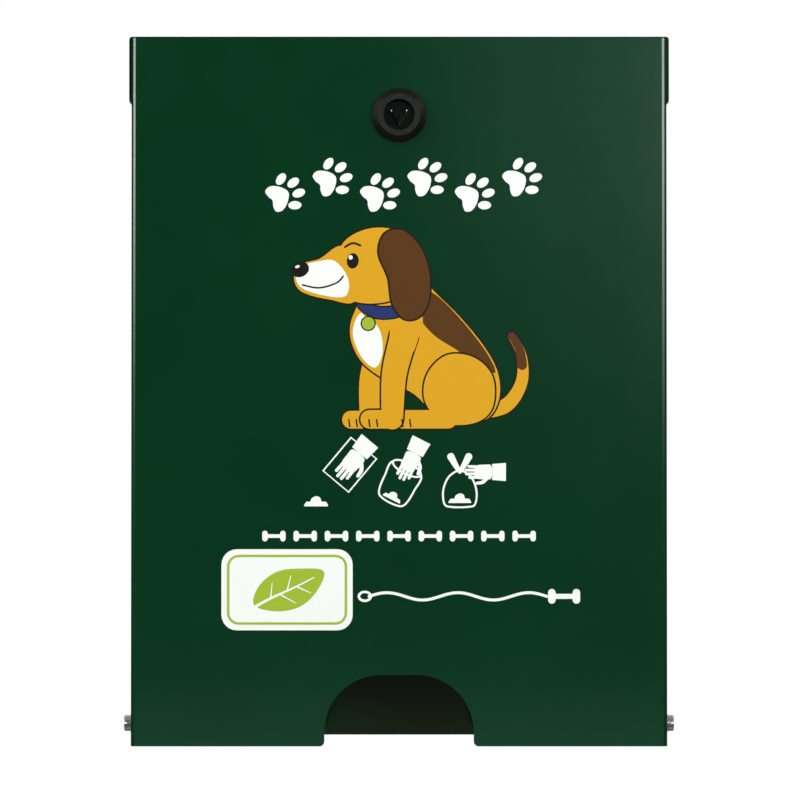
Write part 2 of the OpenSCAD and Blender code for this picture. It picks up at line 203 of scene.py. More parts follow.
def lock_core_metal():
    """Black coated zinc casting of the key spindle: smooth and glossy."""
    s = Surface("black_cast_spindle", Specular_IOR_Level=0.6)
    s.into("Base Color", s.ramp(s.noise(420.0), (0.3, (0.0010, 0.0012, 0.0006)),
                                (0.8, (0.0022, 0.0024, 0.0014))))
    s.into("Roughness", s.ramp(s.noise(600.0), (0.3, 0.10), (0.7, 0.17)))
    return s.bump(s.noise(900.0), 0.006 * MM, 0.4).material


def rubber():
    """Matt black rubber, a little dusty."""
    s = Surface("black_rubber", Specular_IOR_Level=0.35)
    s.into("Base Color", s.ramp(s.noise(700.0), (0.3, 0.0075), (0.7, 0.013)))
    s.into("Roughness", s.ramp(s.noise(500.0), (0.3, 0.68), (0.7, 0.86)))
    return s.bump(s.noise(1800.0), 0.02 * MM, 0.6).material


def nylon():
    """Natural nylon: warm white, slightly translucent."""
    s = Surface("natural_nylon", Subsurface_Weight=0.15, Subsurface_Scale=0.002)
    s.into("Base Color", s.ramp(s.noise(300.0), (0.3, (0.66, 0.63, 0.55)), (0.7, (0.74, 0.72, 0.65))))
    s.into("Roughness", s.ramp(s.noise(500.0), (0.3, 0.42), (0.7, 0.56)))
    return s.bump(s.noise(1500.0), 0.01 * MM, 0.5).material


def card():
    """Grey-brown board: short matted fibres, dark and pale flecks, a soft dull surface."""
    s = Surface("grey_brown_board", Specular_IOR_Level=0.2)
    fibres = s.noise(900.0, detail=5.0, rough=0.75, where=s.stretched((0.45, 1, 1)))
    clouds = s.noise(28.0, detail=3.0)
    tone = s.ramp(clouds, (0.35, (0.275, 0.215, 0.145)), (0.65, (0.325, 0.258, 0.178)))
    tone = s.mix(s.ramp(fibres, (0.35, 0.0), (0.65, 0.5)), tone, (0.40, 0.33, 0.24))
    flecks = s.ramp(s.cells(520.0), (0.06, 1.0), (0.11, 0.0))
    s.into("Base Color", s.mix(flecks, tone, (0.15, 0.105, 0.065)))
    s.into("Roughness", s.ramp(fibres, (0.3, 0.80), (0.7, 0.92)))
    return s.bump(fibres, 0.04 * MM, 0.7).material


def film(name, level, rough):
    """Thin black polythene: silky, with a fine crinkle and faint cloudy marks."""
    s = Surface(name, Specular_IOR_Level=0.5)
    s.into("Base Color", s.ramp(s.noise(35.0), (0.3, level), (0.7, level * 1.6)))
    crinkle = s.noise(170.0, detail=4.0, rough=0.6, where=s.stretched((1.8, 1, 0.5)))
    s.into("Roughness", s.ramp(crinkle, (0.3, rough), (0.7, rough + 0.12)))
    return s.bump(crinkle, 0.10 * MM, 0.5).material


def ink(name, colour):
    """Screen ink: even, a little rougher than the coat, with the mesh's faint print-through."""
    rough = 0.33
    s = Surface(name, Specular_IOR_Level=0.25)
    grain = s.noise(900.0, detail=2.0)
    s.into("Base Color", s.ramp(grain, (0.3, shade(colour, 0.95)), (0.7, colour)))
    s.into("Roughness", s.ramp(s.noise(300.0), (0.3, rough - 0.04), (0.7, rough + 0.06)))
    return s.bump(grain, 0.006 * MM, 0.4).material


COAT = powder_coat()
STEEL = turned_steel()
ZINC = zinc()
RIVET = rivet_metal()
LOCK = lock_plastic()
SPINDLE = lock_core_metal()
RUBBER = rubber()
NYLON = nylon()
CARD = card()
FILM = film("black_bag_film", 0.0045, 0.20)
FILM_STACK = film("black_film_stack", 0.004, 0.30)
INK_WHITE = ink("white_ink", (0.95, 0.95, 0.94))
INK_OCHRE = ink("ochre_ink", (0.74, 0.365, 0.010))
INK_BLACK = ink("black_ink", (0.006, 0.005, 0.004))
INK_BROWN = ink("brown_ink", (0.100, 0.033, 0.003))
INK_BLUE = ink("blue_ink", (0.018, 0.030, 0.145))
INK_LIME = ink("lime_ink", (0.36, 0.50, 0.035))

CAD_MATERIALS = {
    "green_coat": COAT, "stainless": STEEL, "zinc_plate": ZINC, "rivet_aluminium": RIVET,
    "lock_black": LOCK, "lock_core_black": SPINDLE, "rubber": RUBBER, "nylon": NYLON,
    "card": CARD, "bag_film": FILM_STACK,
}

for row in frame["record"]["subparts"]:
    mesh = nodes[row["node"]].data
    mesh.materials.clear()
    mesh.materials.append(CAD_MATERIALS[row["material_slot"]])


# --- Edges of the CAD parts ------------------------------------------------------------------

SHARP_ANGLE = 32.0
COATED_EDGE = 0.22 * MM
SMALL_METAL_EDGE = 0.2 * MM


def soften(node, width, segments=2):
    """Rounds a CAD part's sharp edges for shading: weld, bevel and even normals."""
    part = nodes[node]
    weld = part.modifiers.new("weld", "WELD")
    weld.merge_threshold = 0.002 * MM
    bevel = part.modifiers.new("bevel", "BEVEL")
    bevel.width = width
    bevel.segments = segments
    bevel.limit_method = "ANGLE"
    bevel.angle_limit = math.radians(SHARP_ANGLE)
    bevel.miter_outer = "MITER_ARC"
    normals = part.modifiers.new("normals", "WEIGHTED_NORMAL")
    normals.keep_sharp = True


soften("front_cover", 0.32 * MM)
for node in ("roof_cap", "back_housing", "lock_keeper"):
    soften(node, COATED_EDGE)
soften("lock_body", 0.3 * MM)
soften("lock_insert", 0.5 * MM, segments=4)
for node in ("hanger_plate", "lock_cam", "lock_nut", "cam_washer", "cam_screw"):
    soften(node, SMALL_METAL_EDGE)


# --- Outlines in the cover's plane -----------------------------------------------------------

def at(u, v):
    """A point in the cover's plane: u to the right and v up, in millimetres."""
    return Vector((u, v))


def arc(centre, radius, start, end, steps):
    """Points on an arc, angles in degrees."""
    sweep = [math.radians(start + (end - start) * i / steps) for i in range(steps + 1)]
    return [centre + radius * at(math.cos(a), math.sin(a)) for a in sweep]


def oval(centre, rx, ry, turn=0.0, steps=40):
    """An ellipse, turned by degrees."""
    t = math.radians(turn)
    loop = []
    for i in range(steps):
        a = 2 * math.pi * i / steps
        x, y = rx * math.cos(a), ry * math.sin(a)
        loop.append(centre + at(x * math.cos(t) - y * math.sin(t), x * math.sin(t) + y * math.cos(t)))
    return loop


def smooth(points, closed=True, per=8):
    """A Catmull-Rom curve through (x, y) points."""
    points = [at(*p) for p in points]
    n = len(points)
    out = []
    for i in range(n if closed else n - 1):
        p = [points[(i + k) % n] if closed else points[min(max(i + k, 0), n - 1)]
             for k in (-1, 0, 1, 2)]
        for j in range(per):
            t = j / per
            out.append(0.5 * (2 * p[1] + (p[2] - p[0]) * t
                              + (2 * p[0] - 5 * p[1] + 4 * p[2] - p[3]) * t * t
                              + (3 * p[1] - p[0] - 3 * p[2] + p[3]) * t ** 3))
    return out if closed else out + [points[-1]]


def rounded(centre, w, h, r):
    """A rectangle with rounded corners."""
    loop = []
    for sx, sy, start in ((1, 1, 0), (-1, 1, 90), (-1, -1, 180), (1, -1, 270)):
        corner = centre + at(sx * (w / 2 - r), sy * (h / 2 - r))
        loop += arc(corner, r, start, start + 90, 6)
    return loop


def stroke(path, width, width_end=None):
    """A line with round ends; its width may taper along the path."""
    width_end = width if width_end is None else width_end
    last = len(path) - 1
    left, right = [], []
    for i, p in enumerate(path):
        along = (path[min(i + 1, last)] - path[max(i - 1, 0)]).normalized()
        across = at(-along.y, along.x) * (width + (width_end - width) * i / last) / 2
        left.append(p + across)
        right.append(p - across)

    def cap(tip, inner, radius):
        """Half a circle round the tip, away from the inner point."""
        ahead = tip - inner
        heading = math.degrees(math.atan2(ahead.y, ahead.x))
        return arc(tip, radius, heading - 90, heading + 90, 8)[1:-1]

    return (right + cap(path[-1], path[-2], width_end / 2)
            + left[::-1] + cap(path[0], path[1], width / 2))


def line(points, width, width_end=None):
    """A smooth line with round ends through (x, y) points."""
    return stroke(smooth(points, closed=False), width, width_end)


def signed_area(loop):
    """A closed outline's area, positive where it runs anticlockwise."""
    return sum(p.x * q.y - q.x * p.y for p, q in zip(loop, loop[1:] + loop[:1])) / 2


def grown(loop, d):
    """The closed outline moved outwards by d."""
    sign = 1 if signed_area(loop) > 0 else -1
    out = []
    for before, here, after in zip(loop[-1:] + loop[:-1], loop, loop[1:] + loop[:1]):
        t = (after - before).normalized()
        out.append(here + sign * d * at(t.y, -t.x))
    return out


def placed(loops, where, turn=0.0, size=1.0):
    """Loops scaled, turned by degrees and moved."""
    c, s = size * math.cos(math.radians(turn)), size * math.sin(math.radians(turn))
    return [[where + at(p.x * c - p.y * s, p.x * s + p.y * c) for p in loop] for loop in loops]


def filled(loops, ink):
    """Outlines filled with one ink, as (outline, ink) pairs."""
    return [(loop, ink) for loop in loops]


def edged(loops, ink, edge_ink, width):
    """Filled outlines with one line drawn round all of them together."""
    return filled([grown(loop, width) for loop in loops], edge_ink) + filled(loops, ink)


def hollow(loop, ink, width, inside=None):
    """A closed line; the coat, or another ink, shows inside it."""
    return [(grown(loop, width / 2), ink), (grown(loop, -width / 2), inside)]


# --- Pieces that only Blender holds ----------------------------------------------------------

def add_piece(name, mesh, body):
    """Puts a mesh into the scene as a piece that moves with a CAD body."""
    piece = bpy.data.objects.new(name, mesh)
    bpy.context.scene.collection.objects.link(piece)
    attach(piece, body)
    return piece


def cut_out(name, shapes, spots, front, back):
    """A thin closed mesh cut to outlines in the cover's plane, in millimetres.

    shapes are (outline, material) pairs. Where they overlap the last one drawn shows, and a
    material of None leaves a hole. spots are further points for the faces, and front and back
    turn a point into its place on either face."""
    inside_only, merge_within = 1, 1e-4
    points, rings = list(spots), []
    for loop, _ in shapes:
        rings.append(list(range(len(points), len(points) + len(loop))))
        points += loop if signed_area(loop) > 0 else loop[::-1]
    corners, _, triangles, _, _, owners = delaunay_2d_cdt(
        points, [], rings, inside_only, merge_within)
    materials = []
    bm = bmesh.new()
    near = [bm.verts.new(front(p)) for p in corners]
    far = [bm.verts.new(back(p)) for p in corners]
    twin = dict(zip(near, far))
    for triangle, owner in zip(triangles, owners):
        material = shapes[max(owner)][1] if owner else None
        if material is None:
            continue
        if material not in materials:
            materials.append(material)
        for side in ([near[i] for i in triangle], [far[i] for i in reversed(triangle)]):
            bm.faces.new(side).material_index = materials.index(material)
    # Each open edge of the near face is walled to its twin on the far one
    for edge in [e for e in bm.edges if len(e.link_faces) == 1 and e.verts[0] in twin]:
        face = edge.link_faces[0]
        corner = next(c for c in face.loops if c.edge == edge)
        a, b = corner.vert, corner.link_loop_next.vert
        bm.faces.new((b, a, twin[a], twin[b])).material_index = face.material_index
    bmesh.ops.delete(bm, geom=[v for v in bm.verts if not v.link_faces], context="VERTS")
    mesh = bpy.data.meshes.new(name)
    bm.to_mesh(mesh)
    bm.free()
    for material in materials:
        mesh.materials.append(material)
    return mesh


def swept(name, rings):
    """A mesh skinned over rings of points, its two ends closed."""
    bm = bmesh.new()
    loops = [[bm.verts.new(p) for p in ring] for ring in rings]
    for a, b in zip(loops, loops[1:]):
        for i in range(len(a)):
            j = (i + 1) % len(a)
            bm.faces.new((a[i], a[j], b[j], b[i]))
    bm.faces.new(loops[0][::-1])
    bm.faces.new(loops[-1])
    bmesh.ops.recalc_face_normals(bm, faces=bm.faces)
    mesh = bpy.data.meshes.new(name)
    bm.to_mesh(mesh)
    bm.free()
    return mesh


# --- Print on the cover ----------------------------------------------------------------------

def paw():
    """A dog's paw print about 10 high, about the origin."""
    pad = smooth([(0, 1.3), (2.5, -0.2), (4.0, -2.7), (3.4, -4.6), (1.6, -4.6), (0, -4.0),
                  (-1.6, -4.6), (-3.4, -4.6), (-4.0, -2.7), (-2.5, -0.2)])
    toes = [oval(at(s * x, y), 1.25, 1.95, -s * lean, 24)
            for s in (-1, 1) for x, y, lean in ((4.4, 1.2, 26), (1.75, 3.9, 8))]
    return [pad] + toes


def bone():
    """A bone 13 long, lying along x."""
    end = arc(at(4.9, 1.45), 1.5, 175, 10, 8) + arc(at(4.9, -1.45), 1.5, -10, -175, 8)
    return [[at(3.3, 1.0)] + end + [at(3.3, -1.0), at(-3.3, -1.0)] + [-p for p in end]
            + [at(-3.3, 1.0)]]


def hand():
    """A hand that reaches down, its wrist at the origin: palm and fingers, then the cuff."""
    palm = smooth([(-4.0, 1.0), (-4.7, -3.5), (-4.3, -8.0), (-2.2, -9.6), (2.2, -9.6), (4.3, -8.0),
                   (4.7, -3.5), (4.0, 1.0)])
    fingers = [line([(x, -7.0), (x * 1.05, -10), (x * 1.1, -tip)], 2.1, 1.7)
               for x, tip in ((-3.25, 13.6), (-1.1, 15.4), (1.15, 15.2), (3.3, 13.0))]
    thumb = line([(3.6, -1.6), (6.6, -4.6), (7.3, -8.4)], 2.6, 1.9)
    cuff = [at(-5.2, 1.6), at(5.2, 1.6), at(5.9, 10.5), at(-5.9, 10.5)]
    return [palm, thumb] + fingers, [cuff]


def heap():
    """A small heap on a flat foot, its middle at the origin."""
    top = [(-6.2, 0.6), (-5.0, 2.3), (-3.1, 2.5), (-2.2, 4.2), (0.2, 5.3), (2.2, 4.4), (2.9, 2.6),
           (5.1, 2.3), (6.2, 0.6)]
    return smooth(top, closed=False) + [at(6.2, 0), at(-6.2, 0)]


def headline():
    """A trail of paw prints where the headline stands."""
    count, step, size = 6, 24.6, 1.75
    level, sway = 106.2, 4.0
    shapes = []
    for i in range(count):
        where = at((i - (count - 1) / 2) * step + 2, level + (sway if i % 2 else -sway))
        shapes += filled(placed(paw(), where, -62, size), INK_WHITE)
    return shapes


def dog():
    """A plain sitting dog in profile: ochre coat, black line, brown ear and saddle."""
    rim = 0.9
    tail = line([(36, 9), (50, 12), (58, 24), (58, 38), (53, 48)], 8.5, 4.0)
    tail_tip = line([(58.3, 33), (57, 41), (53, 48)], 5.3, 4.0)
    far_leg = [line([(-14, 46), (-20, 26), (-20.5, 5)], 13, 10.5), rounded(at(-25, 4.6), 20, 9.2, 4.5)]
    torso = smooth([(-15, 82), (-27, 64), (-31, 50), (-26, 36), (-14, 26), (2, 18), (18, 4), (38, 4),
                    (46, 14), (46, 28), (39, 42), (26, 58), (12, 72), (2, 84)])
    chest = smooth([(-25, 60), (-29.5, 50), (-25.5, 38), (-18, 31.5), (-14, 40), (-16, 52)])
    saddle = smooth([(14, 69), (27, 56), (39.5, 40), (44.5, 29), (36, 33), (24, 41), (12, 49),
                     (4, 60), (5, 72)])
    haunch = [smooth([(8, 14), (9, 28), (19, 38), (33, 37), (43, 27), (43, 11), (34, 3), (18, 3)]),
              rounded(at(8, 4.8), 33, 9.6, 4.7)]
    leg = [line([(-3, 48), (-8, 28), (-9, 5)], 14.5, 11), rounded(at(-14.5, 4.8), 22, 9.6, 4.7)]
    neck = smooth([(-20, 84), (-27, 66), (-20, 56), (-6, 58), (4, 66), (6, 84), (-6, 92)])
    head = [smooth([(-39, 82), (-34, 97), (-20, 104), (-5, 102), (4, 91), (3, 77), (-8, 67),
                    (-24, 65), (-36, 70)]),
            smooth([(-34, 94), (-47, 88), (-57, 85), (-60, 78), (-56, 71), (-42, 67), (-28, 67)])]
    muzzle = smooth([(-39, 87), (-48, 86.6), (-56.4, 84), (-58.9, 78), (-55, 72.3), (-42, 68.6),
                     (-33, 69), (-32, 78)])
    ear = smooth([(-13, 101), (-4, 103), (5, 95), (10, 82), (10, 67), (5, 58), (-3, 57), (-9, 65),
                  (-11, 78), (-16, 91)])
    collar = smooth([(-26.5, 63), (-18, 57.5), (-6, 58), (4.5, 64.5), (3, 70), (-6, 64), (-18, 63.5),
                     (-25.5, 69)])
    ink = (edged([tail], INK_OCHRE, INK_BLACK, rim) + filled([tail_tip], INK_BROWN)
           + edged(far_leg, INK_OCHRE, INK_BLACK, rim)
           + edged([torso], INK_OCHRE, INK_BLACK, rim)
           + filled([saddle], INK_BROWN) + filled([chest], INK_WHITE)
           + edged(haunch, INK_OCHRE, INK_BLACK, rim)
           + edged(leg, INK_OCHRE, INK_BLACK, rim)
           + filled([neck], INK_OCHRE))
    # The leg and the neck run on into the body without a line
    ink += filled([line([(-1.5, 56), (-3.6, 44)], 17, 14)], INK_OCHRE)
    ink += edged([collar], INK_BLUE, INK_BLACK, 0.7)
    ink += edged([oval(at(-21.5, 54.5), 3.3, 3.3, steps=24)], INK_LIME, INK_BLACK, 0.7)
    ink += edged(head, INK_OCHRE, INK_BLACK, rim) + filled([muzzle], INK_WHITE)
    ink += edged([oval(at(-57, 82.6), 4.6, 3.7, 20)], INK_BLACK, INK_BLACK, 0.3)
    ink += filled([oval(at(-58.2, 84), 1.3, 0.7, 20, 16)], INK_WHITE)
    ink += filled([line([(-55.5, 74.5), (-47, 73), (-38, 75.5), (-34.5, 79)], 0.9)], INK_BLACK)
    ink += filled([oval(at(-29.5, 87), 3.1, 4.0, -6)], INK_BLACK)
    ink += filled([oval(at(-30.6, 88.8), 1.05, 1.2, steps=16)], INK_WHITE)
    ink += filled([line([(-33.5, 94.2), (-29.5, 96.2), (-25.6, 95)], 1.1)], INK_BLACK)
    ink += edged([ear], INK_BROWN, INK_BLACK, rim)
    toes = [line([(x, 1.0), (x - 0.5, 4.6)], 0.8) for x in (-31, -27.2, -20.6, -16.6, -3.5, 0.6)]
    ink += filled(toes, INK_BLACK)
    return ink


def moved(shapes, where):
    """(outline, ink) pairs moved together."""
    return [([where + p for p in loop], ink) for loop, ink in shapes]


PICTOGRAM_LINE = 1.0


def step_one():
    """A hand inside a turned bag reaches for the heap."""
    hand_loops, cuff = hand()
    bag = [at(-8.6, 5), at(-8.6, -17.5), at(8.6, -17.5), at(8.6, 5)]
    where, turn = at(-21.5, -33.5), -40
    shapes = hollow(placed([bag], where, turn)[0], INK_WHITE, PICTOGRAM_LINE)
    shapes += filled(placed(hand_loops, where, turn, 0.95), INK_WHITE)
    shapes += filled(placed(cuff, where, turn, 0.95), INK_WHITE)
    return shapes + filled(placed([heap()], at(-43, -59.8)), INK_WHITE)


def step_two():
    """The bag is turned over the heap that the hand holds."""
    hand_loops, cuff = hand()
    where, turn, reach = at(7.5, -33.5), -27, 25.5
    heap_place = where + reach * at(math.sin(math.radians(turn)), -math.cos(math.radians(turn)))
    bag = smooth([(-7.6, -7), (-8.6, -16), (-7.6, -24.5), (-4.0, -27), (4.0, -27), (7.6, -24.5),
                  (8.6, -16), (7.6, -7)])
    mouth = oval(at(0, -7.5), 8.0, 2.9)
    shapes = hollow(placed([bag], where, turn)[0], INK_WHITE, PICTOGRAM_LINE)
    shapes += hollow(placed([mouth], where, turn)[0], INK_WHITE, PICTOGRAM_LINE)
    shapes += filled(placed([heap()], heap_place, turn, 0.8), INK_WHITE)
    shapes += filled(placed(hand_loops + cuff, where, turn, 0.88), INK_WHITE)
    return shapes


def step_three():
    """The tied bag is carried off."""
    hand_loops, cuff = hand()
    place = at(31.5, -47.5)
    sack = smooth([(-1.5, 6.0), (-6.0, 2.6), (-8.6, -4), (-8.0, -11), (-4.5, -12.6), (4.5, -12.6),
                   (8.0, -11), (8.6, -4), (6.0, 2.6), (1.5, 6.0)])
    ears = [line([(0, 5.6), (s * 2.2, 9.0), (s * 4.6, 13.4)], 2.0, 3.8) for s in (-1, 1)]
    shapes = hollow(placed([sack], place)[0], INK_WHITE, PICTOGRAM_LINE)
    shapes += filled(placed([heap()], place + at(0, -10.6), 0, 0.95), INK_WHITE)
    shapes += filled(placed(ears, place), INK_WHITE)
    return shapes + filled(placed(hand_loops + cuff, place + at(15.5, 5.5), -90, 0.8), INK_WHITE)


def bone_row():
    """A row of small bones where the line of text stands."""
    count, step, size = 9, 16.2, 0.95
    places = [at((i - (count - 1) / 2) * step, -75.2) for i in range(count)]
    return filled([placed(bone(), place, 0, size)[0] for place in places], INK_WHITE)


def label():
    """A plain pale label with a leaf."""
    centre = at(-58, -103)
    plate = rounded(centre, 68, 42, 8)
    leaf = smooth([(-17, -8), (-14.5, 2.0), (-5, 9.4), (8, 11.0), (19, 9.5), (15.6, -0.5), (7, -8.6),
                   (-5, -11.2)])
    rib = line([(-23, -12.6), (-10, -5.2), (3, 0.8), (14, 6.4)], 1.7, 0.5)
    veins = [line([(x, y), (x + dx, y + dy)], 0.8, 0.35)
             for x, y, dx, dy in ((-8.5, -4.4, 0.8, 8.0), (0.0, -0.6, 2.0, 8.0),
                                  (-4.0, -2.2, 8.4, -4.6), (4.8, 1.7, 7.6, -3.4))]
    shapes = filled([plate], INK_WHITE)
    shapes += hollow(rounded(centre, 61, 35, 5.5), INK_LIME, 1.3, INK_WHITE)
    shapes += filled(placed([leaf], centre), INK_LIME)
    return shapes + filled(placed([rib] + veins, centre), INK_WHITE)


def leash():
    """A wavy leash line that ends in a bone, where the address stands."""
    start, run, level, rise, waves, steps = -15.5, 92, -106.4, 1.9, 2.5, 60
    path = [at(start + run * i / steps, level + rise * math.sin(i / steps * waves * 2 * math.pi))
            for i in range(steps + 1)]
    loop = oval(at(start - 2.2, level), 3.1, 2.3, 0, 24)
    return (hollow(loop, INK_WHITE, 1.3) + filled([stroke(path, 1.5)], INK_WHITE)
            + filled(placed(bone(), at(start + run + 9, level), 0, 1.3), INK_WHITE))


INK_THICKNESS = 0.05 * MM
INK_SINK = 0.01 * MM


def printed(name, shapes):
    """A thin skin of ink on the cover's face."""
    skin = cut_out(name, shapes, [], lambda p: (p.x * MM, FACE_Y - INK_THICKNESS, p.y * MM),
                   lambda p: (p.x * MM, FACE_Y + INK_SINK, p.y * MM))
    add_piece(name, skin, "cover")


printed("print_paw_trail", headline())
printed("print_dog", moved(dog(), at(5.5, -19.5)))
printed("print_step_1", step_one())
printed("print_step_2", step_two())
printed("print_step_3", step_three())
printed("print_bone_row", bone_row())
printed("print_label", label())
printed("print_leash", leash())


# --- Bags ------------------------------------------------------------------------------------

BLOCKS = 3
LEAVES = 9
HOOK_LO, HOOK_HI = (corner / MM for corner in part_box("bag_hook_right"))
HOOK_R = (HOOK_HI.x - HOOK_LO.x) / 2
HOLE_R = 3.4
HOOK_CLEARANCE = 0.1
HOLE_Z = HOOK_LO.z + 2 * HOOK_R - HOLE_R + HOOK_CLEARANCE
HOLES = [at(s * (HOOK_LO.x + HOOK_R), HOLE_Z) for s in (-1, 1)]
CARD_LIP_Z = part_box("header_card_1")[0].z / MM
BLOCK_LO, BLOCK_HI = (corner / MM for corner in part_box("bag_block_1"))
CARD_T = 1.0
SIDE_GAP = 0.5
BAG_TOP_Z = BLOCK_HI.z - 1.3


def slackness(z):
    """0 under the header card, 1 at the bag's lower edge."""
    return min(1.0, max(0.0, (CARD_LIP_Z - z) / (CARD_LIP_Z - BLOCK_LO.z)))


def swell(x, z):
    """How far the loose film stands out from its neighbours, in millimetres, never negative.

    It curls outwards along its lower edge, most at the corners."""
    t = slackness(z)
    slow = 0.5 + 0.5 * noise.noise(Vector((x * 0.022, z * 0.009, 3.1)))
    curl = max(0.0, t - 0.86) / 0.14
    return t ** 0.7 * (0.5 + 1.6 * slow) + 1.5 * curl ** 2 * (0.4 + 0.6 * (x / 100) ** 2)


def ridge(x, z, pitch, seed):
    """Long sharp creases that wander down the film: 1 on a crease, near 0 away from it."""
    wander = 6 * noise.noise(Vector((x * 0.01, z * 0.012, seed)))
    value = noise.noise(Vector(((x + wander) / pitch, z / (pitch * 4.5), seed)))
    return (1 - min(1.0, abs(value) * 2.2)) ** 3


def cross_crease(x, z, seed):
    """Short creases across the film: 1 on a crease, near 0 away from it."""
    value = noise.noise(Vector((x * 0.016, z * 0.05, seed)))
    return (1 - min(1.0, abs(value) * 2.6)) ** 4


def leaf_outline(side_shift, low_z, seed, step=9.0):
    """A bag's outline: straight sides, small round lower corners, and a lower edge that waves."""
    left = BLOCK_LO.x + SIDE_GAP + side_shift
    right = BLOCK_HI.x - SIDE_GAP + side_shift
    corner = 3.0

    def along(a, b):
        """Evenly spaced points from a up to b, without b."""
        n = max(1, round((b - a).length / step))
        return [a.lerp(b, i / n) for i in range(n)]

    path = (along(at(left, BAG_TOP_Z), at(left, low_z + corner))
            + arc(at(left + corner, low_z + corner), corner, 180, 270, 4)
            + along(at(left + corner, low_z), at(right - corner, low_z))[1:]
            + arc(at(right - corner, low_z + corner), corner, 270, 360, 4)
            + along(at(right, low_z + corner), at(right, BAG_TOP_Z))[1:]
            + along(at(right, BAG_TOP_Z), at(left, BAG_TOP_Z)))
    for p in path:
        if p.y < low_z + 2 * corner:
            p.y += 0.7 * noise.noise(Vector((p.x * 0.03, seed, 0)))
    return path


def leaf_spots(low_z, pitch):
    """Points spread over a leaf, clear of its edges and of the two hook holes."""
    first_row = 6
    rows = int((BAG_TOP_Z - low_z - pitch) // pitch)
    columns = int((BLOCK_HI.x - BLOCK_LO.x - pitch) // pitch)
    spots = [at((i - (columns - 1) / 2) * pitch, low_z + first_row + j * pitch)
             for j in range(rows) for i in range(columns)]
    return [p for p in spots if min((p - hole).length for hole in HOLES) > 1.5 * HOLE_R]


def punched(outline, material):
    """A leaf's outline with its two hook holes."""
    return [(outline, material)] + [(oval(hole, HOLE_R, HOLE_R, 0, 20), None) for hole in HOLES]


def bag_stack(number):
    """The bags of one block: thin leaves that hang together and part a little lower down."""
    # A leaf stands for several bags, and is as thick as this share of the pitch
    fill = 0.72
    rng = random.Random(40 + number)
    lo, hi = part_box(f"bag_block_{number}")
    pitch = ((hi.y - lo.y) / MM - 2 * CARD_T) / LEAVES
    whole = bmesh.new()
    for i in range(LEAVES):
        order = ((number - 1) * LEAVES + i + 1) / (BLOCKS * LEAVES)
        y = hi.y / MM - CARD_T - (i + 0.1) * pitch
        low_z = BLOCK_LO.z + rng.uniform(0.8, 3.4)
        outline = leaf_outline(rng.uniform(-0.5, 0.5), low_z, number * 10 + i)
        spread = 2 * CARD_T * ((i + 0.5) / LEAVES - 0.5)

        def place(p, depth, y=y, order=order, spread=spread):
            """The leaves part a little below the card; the foremost ones stand out most."""
            open_up = min(1.0, slackness(p.y) * 6) * spread
            return (p.x * MM, (y - depth - open_up - order ** 1.4 * swell(p.x, p.y)) * MM, p.y * MM)

        leaf = cut_out("leaf", punched(outline, FILM_STACK), leaf_spots(low_z, 15.0),
                       lambda p, place=place: place(p, pitch * fill),
                       lambda p, place=place: place(p, 0.0))
        whole.from_mesh(leaf)
        bpy.data.meshes.remove(leaf)
    for face in whole.faces:
        face.smooth = len(face.verts) == 3
    mesh = bpy.data.meshes.new(f"bag_stack_{number}")
    whole.to_mesh(mesh)
    whole.free()
    mesh.materials.append(FILM_STACK)
    stack = add_piece(f"bag_stack_{number}", mesh, "housing")
    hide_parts(f"bag_block_{number}")


def front_bag():
    """The foremost bag: one sheet of thin film, creased from its folding and by the pull of hands."""
    thickness, set_back = 0.12, 1.35
    bulge, long_crease, fine_crease, short_crease = 1.9, 1.7, 0.8, 0.9
    low_z = BLOCK_LO.z + 0.5
    under_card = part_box(f"bag_block_{BLOCKS}")[0].y / MM + set_back

    def place(p, depth):
        """The film stands out, and each kind of crease sets in, a little below the card."""
        t = slackness(p.y)
        out = min(1.0, t * 5) * bulge + swell(p.x, p.y)
        out += min(1.0, t * 7) * (long_crease * ridge(p.x, p.y, 30, 1.7)
                                  + fine_crease * ridge(p.x, p.y, 13, 5.3))
        out += min(1.0, t * 4) * short_crease * cross_crease(p.x, p.y, 8.2)
        return (p.x * MM, (under_card - depth - out) * MM, p.y * MM)

    outline = leaf_outline(0.0, low_z, 99, 3.0)
    mesh = cut_out("front_bag", punched(outline, FILM), leaf_spots(low_z, 3.2),
                   lambda p: place(p, thickness), lambda p: place(p, 0.0))
    for face in mesh.polygons:
        face.use_smooth = len(face.vertices) == 3
    sheet = add_piece("front_bag", mesh, "housing")


def staples(number):
    """Two flat wire staples through the front leaf of a block's header card."""
    span, width, thickness, leg = 11.0, 0.8, 0.3, 1.2
    above_lip, from_side, slope, steps = 7, 22, 0.12, 14
    # The wire's section: a flat bar with broken corners, as shares of its width and thickness
    section = ((-0.5, -0.2), (-0.35, -0.5), (0.35, -0.5), (0.5, -0.2), (0.5, 0.2), (0.35, 0.5),
               (-0.35, 0.5), (-0.5, 0.2))
    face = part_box(f"header_card_{number}")[0].y / MM
    z = CARD_LIP_Z + above_lip
    for side, name in ((-1, "left"), (1, "right")):
        middle = side * (BLOCK_HI.x - from_side)
        rings = []
        for i in range(steps + 1):
            a = math.pi * i / steps
            # A flattened arch: the ends turn into the card, the middle lies flat on it
            x = -math.cos(a) * span / 2
            rise = min(1.0, 3.2 * math.sin(a))
            y = face + leg * (1 - rise) - thickness / 2 * rise
            tilt = math.cos(a) * (1 - rise)
            rings.append([Vector((middle + x - tilt * t * thickness, y + t * thickness,
                                  z + slope * x + w * width)) * MM for w, t in section])
        mesh = swept(f"staple_{number}_{name}", rings)
        mesh.materials.append(ZINC)
        add_piece(f"staple_{number}_{name}", mesh, "housing")


